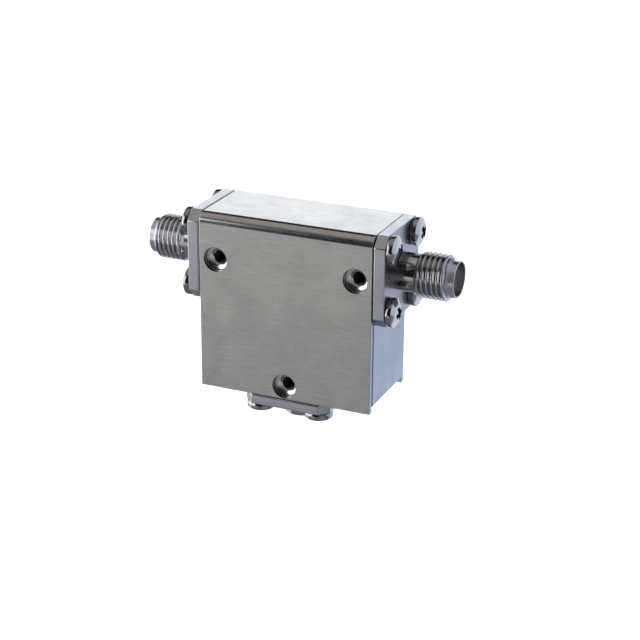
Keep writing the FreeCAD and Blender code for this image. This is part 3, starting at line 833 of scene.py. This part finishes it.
def brushed_sheet(colours):
    """Sheet brushed lengthways, from side to side of the shield."""
    return metal("brushed_sheet", colours.shield, 0.16, (0.28, 6.0, 6.0), along=(1, 0, 0),
                 lines=0.55, depth=0.14, relief=0.5, anisotropy=0.2)


def cut_cone(colours):
    """Bright cut metal of the countersinks, which scatters more than the plating; its light colour is
    partly fresh cut metal and partly a painted highlight.
    """
    return metal("cut_cone", colours.cut, 0.19, (4.0, 14.0, 4.0), relief=0.3)


def punched_edge(colours):
    """Sheared metal of a punched edge, darkened with painted shade."""
    return metal("punched_edge", colours.edge, 0.20, (4.0, 1.0, 4.0), depth=0.15, relief=0.2)


def dark_bore(colours):
    """Unpolished metal of the tapped bores, darkened to near black with painted shade."""
    return metal("dark_bore", colours.shadow, 0.45, (6.0, 6.0, 6.0), depth=0.20, relief=0.3)


def satin_block(colours):
    """Satin plating over a milled block."""
    return metal("satin_block", colours.block, 0.36, (3.0, 0.5, 3.0), lines=0.3, depth=0.07,
                 cool=0.02)


def ground_flange(colours):
    """Ground and passivated steel of the flanges' edges."""
    return metal("ground_flange", colours.flange, 0.21, (4.0, 4.0, 0.4), lines=0.3, depth=0.06)


def turned_face(colours):
    """Turned steel of the flanges' outer faces, darkened below their edges with painted shade."""
    return metal("turned_face", colours.face, 0.28, (0.4, 2.5, 2.5), lines=0.4, depth=0.07,
                 cool=0.02)


def turned_barrel(colours):
    """Turned steel of the ports, its tool marks running round the axis."""
    return metal("turned_barrel", colours.barrel, 0.12, (16.0, 0.6, 0.6), along=(1, 0, 0),
                 anisotropy=0.5)


def thread_groove(colours):
    """Cut steel in the grooves of the ports' threads, duller than the crests and darkened with painted
    shade.
    """
    return metal("thread_groove", colours.groove, 0.14, (16.0, 0.6, 0.6), depth=0.12)


def thread_crest(colours):
    """Rolled steel on the crests of the ports' threads, which scatters along the port; its light
    colour is a painted highlight.
    """
    return metal("thread_crest", colours.crest, 0.22, (4.0, 0.6, 0.6), along=(1, 0, 0), relief=0.2,
                 anisotropy=0.92)


def turned_lip(colours):
    """Turned steel of the cone and the lip round a mouth, less fine than the barrel and lightened with
    a painted highlight.
    """
    return metal("turned_lip", colours.lip, 0.25, (16.0, 0.6, 0.6), along=(1, 0, 0), relief=0.3,
                 anisotropy=0.7)


def bored_mouth(colours):
    """Bored steel inside the mouths, duller than the outside and darkened with painted shade."""
    return metal("bored_mouth", colours.mouth, 0.38, (14.0, 1.0, 1.0), depth=0.12, relief=0.3)


def turned_boss(colours):
    """Turned steel of the load's boss, whose axis stands upright."""
    return metal("turned_boss", colours.barrel, 0.14, (16.0, 0.6, 0.6), along=(0, 0, 1),
                 anisotropy=0.5)


def bright_screw(colours):
    """Bright steel of the screws, headed and polished."""
    return metal("bright_screw", colours.screw, 0.12, (5.0, 1.5, 1.5), lines=0.4, depth=0.08,
                 relief=0.2)


def screw_side(colours):
    """Steel round the sides of the screw heads, darkened with painted shade and a painted reflection
    of the dark room.
    """
    return metal("screw_side", colours.side, 0.13, (5.0, 1.5, 1.5), lines=0.4, relief=0.2)


def screw_recess(colours):
    """Steel in the cross recesses, darkened with painted shade."""
    return metal("screw_recess", colours.recess, 0.32, (6.0, 6.0, 6.0), depth=0.20, relief=0.3)


def white_insulator(colours):
    """White insulator, cut to length on a lathe."""
    return ground_body("white_insulator", colours.insulator, 0.45, (6.0, 2.0, 2.0))


def gold_plate(colours):
    """Bright gold plating on turned contacts."""
    return metal("gold_plate", colours.gold, 0.2, (12.0, 2.0, 2.0), lines=0.4, depth=0.08,
                 relief=0.2)


def rolled_copper(colours):
    """Rolled copper of the centre conductor."""
    return metal("rolled_copper", colours.copper, 0.3, (0.2, 6.0, 6.0), along=(1, 0, 0), lines=0.35,
                 relief=0.4, anisotropy=0.3)


def ground_pole(colours):
    """Ground steel of the plates and caps."""
    return metal("ground_pole", colours.pole, 0.3, (5.0, 5.0, 0.3), lines=0.35, relief=0.4)


def nickel_plate(colours):
    """Nickel plating of the magnets."""
    return metal("nickel_plate", colours.magnet, 0.15, (1.0, 1.0, 1.0), lines=0.35, relief=0.4)


def ground_ferrite(colours):
    """Ground ferrite of the discs."""
    return ground_body("ground_ferrite", colours.ferrite, 0.35, (5.0, 5.0, 5.0))


def ground_ceramic(colours):
    """Ground ceramic of the rings round the ferrites."""
    return ground_body("ground_ceramic", colours.ceramic, 0.5, (8.0, 8.0, 8.0))


def resistive_black(colours):
    """Matt black of the resistive element."""
    return ground_body("resistive_black", colours.resistor, 0.7, (7.0, 7.0, 7.0))


# Operators

class ISOLATOR_OT_shield(bpy.types.Operator):
    """Fold the brushed shield over the block"""
    bl_idname = "isolator.shield"
    bl_label = "Shield"

    def execute(self, context):
        sizes, colours = sizes_and_colours(context)
        hole = sizes.cover_hole / 2 + sizes.hole_roll + TOUCH

        def in_hole(middle):
            """1 on the punched wall of a round hole, 2 on the strip's cut sides, 0 elsewhere."""
            if abs(middle.x) > COVER_HIGH.x - TOUCH:
                return 2
            return int(from_fixing(middle) < hole and TOUCH < middle.y < sizes.sheet - TOUCH)

        mesh = mesh_of(shield_solid(sizes), "folded_shield", brushed_sheet(colours),
                       punched_edge(colours), satin_block(colours), pick=in_hole)
        shown(mesh, "folded_shield", "shield_cover")
        return {"FINISHED"}


class ISOLATOR_OT_block(bpy.types.Operator):
    """Mill the junction block"""
    bl_idname = "isolator.block"
    bl_label = "Block"

    def execute(self, context):
        sizes, colours = sizes_and_colours(context)
        bore = sizes.fixing_bore / 2 - sizes.fixing_tooth + TOUCH
        deepest = sizes.fixing_depth + sizes.fixing_bore / 2

        def in_fixing(middle):
            """1 on a fixing hole's countersink, 2 in its tapped bore, 0 elsewhere."""
            near, deep = from_fixing(middle), middle.y - BLOCK_LOW.y
            if near > sizes.fixing_sink / 2 + TOUCH or not TOUCH < deep < deepest:
                return 0
            return 1 if deep < sizes.sink_depth and near > bore else 2

        mesh = mesh_of(block_solid(sizes), "milled_block", satin_block(colours),
                       cut_cone(colours), dark_bore(colours), pick=in_fixing)
        shown(mesh, "milled_block", "junction_block")
        return {"FINISHED"}


class ISOLATOR_OT_ports(bpy.types.Operator):
    """Turn and thread the two ports"""
    bl_idname = "isolator.ports"
    bl_label = "Ports"

    def execute(self, context):
        sizes, colours = sizes_and_colours(context)
        flange, barrel_end = sizes.port_flange, sizes.port_flange + sizes.barrel_length
        run_in, cone_gap, crest_share = 0.5, 0.02, 0.6
        crest = THREAD / 2 - crest_share * sizes.crest_round

        def on_barrel(middle):
            """Which finish a face takes, of those in the order that follows."""
            around = middle.yz.length
            if around < MOUTH / 2 + TOUCH and middle.x > PORT_REACH - sizes.mouth_depth - TOUCH:
                return 2
            if middle.x > barrel_end + sizes.thread_length + cone_gap:
                return 3
            if middle.x > barrel_end + run_in:
                return 6 if around > crest else 5
            if abs(middle.x - flange) < TOUCH:
                return 4
            return int(around < THREAD / 2 + TOUCH and middle.x > flange + TOUCH)

        mesh = mesh_of(port_solid(sizes), "threaded_port", ground_flange(colours),
                       turned_barrel(colours), bored_mouth(colours), turned_lip(colours),
                       turned_face(colours), thread_groove(colours), thread_crest(colours),
                       pick=on_barrel)
        shown(mesh, "right_threaded_port", "right_port_shell", AT_RIGHT)
        shown(mesh, "left_threaded_port", "left_port_shell", AT_LEFT)
        return {"FINISHED"}


class ISOLATOR_OT_lines(bpy.types.Operator):
    """Fit the insulators and the slotted contacts into the ports"""
    bl_idname = "isolator.lines"
    bl_label = "Port lines"

    def execute(self, context):
        sizes, colours = sizes_and_colours(context)
        collar = mesh_of(insulator_solid(sizes), "line_insulator", white_insulator(colours))
        socket = mesh_of(contact_solid(sizes), "slotted_contact", gold_plate(colours))
        for side, place in (("right", AT_RIGHT), ("left", AT_LEFT)):
            shown(collar, f"{side}_line_insulator", f"{side}_port_insulator", place)
            shown(socket, f"{side}_slotted_contact", f"{side}_port_contact", place)
        return {"FINISHED"}


class ISOLATOR_OT_load(bpy.types.Operator):
    """Turn the capped load and its flange"""
    bl_idname = "isolator.load"
    bl_label = "Load"

    def execute(self, context):
        sizes, colours = sizes_and_colours(context)

        def on_boss(middle):
            """1 on the turned boss, 2 on the flange's outer face, 0 on its edges."""
            if abs(middle.x - sizes.load_flange) < TOUCH:
                return 2
            return int(middle.x > sizes.load_flange)

        mesh = mesh_of(load_solid(sizes), "capped_load", ground_flange(colours),
                       turned_boss(colours), turned_face(colours), pick=on_boss)
        shown(mesh, "capped_load", "load_shell", AT_LOAD)
        return {"FINISHED"}


class ISOLATOR_OT_screws(bpy.types.Operator):
    """Screw the three flanges down, with twelve cross-recessed screws"""
    bl_idname = "isolator.screws"
    bl_label = "Screws"

    def execute(self, context):
        sizes, colours = sizes_and_colours(context)
        top, ball = sizes.head_band + sizes.head_dome, dome_radius(sizes)
        recess_share, below_dome, below_band = 0.7, 0.03, 0.05

        def on_head(middle):
            """1 in the cross recess of a head, 2 round its side, 0 elsewhere."""
            around = middle.yz.length
            surface_there = top - ball + sqrt(ball ** 2 - around ** 2)
            inside = around < recess_share * sizes.recess_span
            if inside and 0 < middle.x < surface_there - below_dome:
                return 1
            return 2 if 0 < middle.x < sizes.head_band - below_band else 0

        # Each seat: its name, frame and flange, and the degrees that its screws are turned
        seats = (("right_port", AT_RIGHT, sizes.port_flange, (20, 64, 8, 38)),
                 ("left_port", AT_LEFT, sizes.port_flange, (50, 14, 71, 33)),
                 ("load", AT_LOAD, sizes.load_flange, (27, 80, 5, 58)))
        for seat, place, flange, turns in seats:
            face = Matrix.Translation((flange, 0, 0))
            for number, (spot, turn) in enumerate(zip(screw_places(sizes), turns), start=1):
                name = f"{seat}_screw_{number}"
                screw = placed(screw_solid(sizes, flange), Matrix.Rotation(radians(turn), 4, "X"))
                mesh = mesh_of(screw, name, bright_screw(colours), screw_recess(colours),
                               screw_side(colours), pick=on_head)
                shown(mesh, name, f"{seat}_screws", place @ spot @ face)
        return {"FINISHED"}


class ISOLATOR_OT_inner_finishes(bpy.types.Operator):
    """Finish the pieces inside the block and the load, whose shapes stay as they are"""
    bl_idname = "isolator.inner_finishes"
    bl_label = "Inner pieces"

    def execute(self, context):
        colours = context.scene.isolator_finish
        inner = {"centre_conductor": rolled_copper, "load_insulator": white_insulator,
                 "load_pin": gold_plate, "load_resistor": resistive_black}
        stack = {"ferrite": ground_ferrite, "ferrite_ring": ground_ceramic,
                 "ground_plate": ground_pole, "magnet": nickel_plate, "pole_cap": ground_pole}
        for piece, made in stack.items():
            inner.update({f"front_{piece}": made, f"back_{piece}": made})
        for node, made in inner.items():
            for place in frame["nodes"][node].material_slots:
                place.material = made(colours)
        return {"FINISHED"}


class ISOLATOR_OT_studio(bpy.types.Operator):
    """Set up the camera, the pale floor and the soft light"""
    bl_idname = "isolator.studio"
    bl_label = "Studio"

    def execute(self, context):
        studio = context.scene.isolator_studio
        sizes = in_mm(studio)
        set_camera(context, studio, sizes)
        set_floor(studio, sizes)
        set_world(context, studio)
        soft_box("back_soft_box", bearing(-162, 12), size=(0.40, 0.20), distance=0.42,
                 radiance=1.27, tint=(0.93, 0.96, 1.0))
        soft_box("side_soft_box", bearing(-73.5, 11), size=(0.367, 0.25), distance=0.22,
                 radiance=1.8, tint=(0.95, 0.98, 1.0))
        context.scene.view_settings.view_transform = "Standard"
        return {"FINISHED"}


# Studio

def bearing(azimuth, elevation):
    """The direction of a bearing in degrees: 0 faces the front, 90 the right-hand side."""
    turn, rise = radians(azimuth), radians(elevation)
    return Vector((sin(turn) * cos(rise), -cos(turn) * cos(rise), sin(rise)))


def set_camera(context, studio, sizes):
    """The camera, at the photograph's angle and distance."""
    turn, rise, roll = studio.azimuth, studio.elevation, studio.roll
    back = bearing(degrees(turn), degrees(rise))
    flat = Vector((cos(turn), sin(turn), 0.0))
    upright = back.cross(flat)
    right = cos(roll) * flat + sin(roll) * upright
    up = cos(roll) * upright - sin(roll) * flat
    aim = Vector((0.0, MID_DEPTH, -sizes.aim_drop))
    stand = (aim + back * sizes.distance + right * sizes.sidestep) / MM
    camera = linked("camera", bpy.data.cameras.new("camera"))
    camera.data.lens = studio.lens
    camera.data.sensor_width = 36.0
    camera.data.clip_start = 0.01
    camera.data.clip_end = 50.0
    camera.matrix_world = Matrix.Translation(stand) @ Matrix((right, up, back)).transposed().to_4x4()
    context.scene.camera = camera


def set_floor(studio, sizes):
    """A plain pale floor well below the isolator, which keeps its soft shadow."""
    level, half = (LOAD_LOW.z - sizes.floor_drop) / MM, 3.0
    solid = bmesh.new()
    solid.faces.new([solid.verts.new((half * x, half * y, level)) for x, y in
                     ((-1, -1), (1, -1), (1, 1), (-1, 1))])
    floor = linked("floor", as_mesh(solid, "floor"))
    material, tree, shader = blank("pale_floor")
    light = add(tree, "ShaderNodeLightPath")
    glow = add(tree, "ShaderNodeMath", {0: light.outputs["Is Camera Ray"], 1: studio.floor_glow},
               operation="MULTIPLY")
    feed(tree, shader, {"Base Color": [*studio.floor_colour, 1.0], "Roughness": 0.9,
                        "Specular IOR Level": 0.0, "Emission Color": (1.0, 1.0, 1.0, 1.0),
                        "Emission Strength": glow.outputs["Value"]})
    floor.data.materials.append(material)
    floor.visible_glossy = False


def towards(tree, direction, target, inner, outer):
    """1 where a direction is within an angle of a target, falling to 0 at a wider one."""
    dot = add(tree, "ShaderNodeVectorMath", {0: direction, 1: target},
              operation="DOT_PRODUCT").outputs["Value"]
    values = {"Value": dot, "From Min": cos(radians(outer)), "From Max": cos(radians(inner))}
    return add(tree, "ShaderNodeMapRange", values, interpolation_type="SMOOTHSTEP").outputs["Result"]


def set_world(context, studio):
    """Plain light from all round, a white backdrop, and the studio as bare metal shows it."""
    world = bpy.data.worlds.new("studio")
    world.use_nodes = True
    tree = world.node_tree
    tree.nodes.clear()
    direction = add(tree, "ShaderNodeTexCoord").outputs["Generated"]
    # Each part of the room: its colour, its middle, and the angles at which it fades and ends
    parts = ((studio.ceiling, bearing(-85, 72), 18, 34),
             (studio.table, bearing(0, -90), 55, 76),
             (studio.front_table, bearing(-27, -4), 12, 30),
             (studio.right_table, bearing(50, -20), 14, 26),
             (studio.dark_side, bearing(-4, 18), 28, 33),
             (studio.dark_side, bearing(-150, 45), 9, 17),
             (studio.side_wall, bearing(112, 8), 20, 32),
             (studio.backdrop, bearing(152, -18), 30, 43),
             (studio.card, bearing(-92, -26), 16, 26))
    room = studio.room
    for tint, heading, inner, outer in parts:
        room = either(tree, towards(tree, direction, heading, inner, outer), room, tint)
    light = add(tree, "ShaderNodeLightPath")
    lit = either(tree, light.outputs["Is Glossy Ray"], (studio.fill,) * 3, room)
    seen = add(tree, "ShaderNodeMath", {0: light.outputs["Is Camera Ray"],
                                        1: light.outputs["Is Transmission Ray"]},
               operation="MAXIMUM").outputs["Value"]
    shade = add(tree, "ShaderNodeBackground",
                {"Color": either(tree, seen, lit, (1.0, 1.0, 1.0)), "Strength": 1.0})
    add(tree, "ShaderNodeOutputWorld", {"Surface": shade.outputs["Background"]})
    context.scene.world = world


def soft_box(name, direction, size, distance, radiance, tint):
    """A soft box of a given width, height and radiance, which faces the isolator."""
    light = bpy.data.lights.new(name, "AREA")
    light.shape = "RECTANGLE"
    light.size, light.size_y = size
    light.energy = radiance * pi * light.size * light.size_y
    light.color = tint
    lamp = linked(name, light)
    centre = Vector((0, MID_DEPTH, (LOAD_LOW.z + COVER_HIGH.z) / 2)) / MM
    lamp.location = centre + direction * distance
    lamp.rotation_mode = "QUATERNION"
    lamp.rotation_quaternion = direction.to_track_quat("Z", "Y")
    lamp.visible_camera = False


class ISOLATOR_PT_panel(bpy.types.Panel):
    """The isolator's steps, sizes and colours"""
    bl_idname = "ISOLATOR_PT_panel"
    bl_label = "Isolator"
    bl_space_type = "VIEW_3D"
    bl_region_type = "UI"
    bl_category = "Isolator"

    def draw(self, context):
        for step in STEPS:
            self.layout.operator(step.bl_idname)
        for kind, described in GROUPS.items():
            column = self.layout.column(align=True)
            for name in described.__annotations__:
                column.prop(getattr(context.scene, kind), name)


GROUPS = {"isolator_sizes": ISOLATOR_PG_sizes, "isolator_finish": ISOLATOR_PG_finish,
          "isolator_studio": ISOLATOR_PG_studio}
STEPS = (ISOLATOR_OT_shield, ISOLATOR_OT_block, ISOLATOR_OT_ports, ISOLATOR_OT_lines,
         ISOLATOR_OT_load, ISOLATOR_OT_screws, ISOLATOR_OT_inner_finishes, ISOLATOR_OT_studio)


def register():
    for kind in (*GROUPS.values(), *STEPS, ISOLATOR_PT_panel):
        bpy.utils.register_class(kind)
    for name, group in GROUPS.items():
        setattr(bpy.types.Scene, name, PointerProperty(type=group))


def unregister():
    for name in GROUPS:
        delattr(bpy.types.Scene, name)
    for kind in (ISOLATOR_PT_panel, *reversed(STEPS), *GROUPS.values()):
        bpy.utils.unregister_class(kind)


def main():
    register()
    for step in STEPS:
        if getattr(bpy.ops.isolator, step.bl_idname.split(".")[1])() != {"FINISHED"}:
            raise RuntimeError(f"{step.bl_label} wasn't made")


if __name__ == "__main__":
    main()
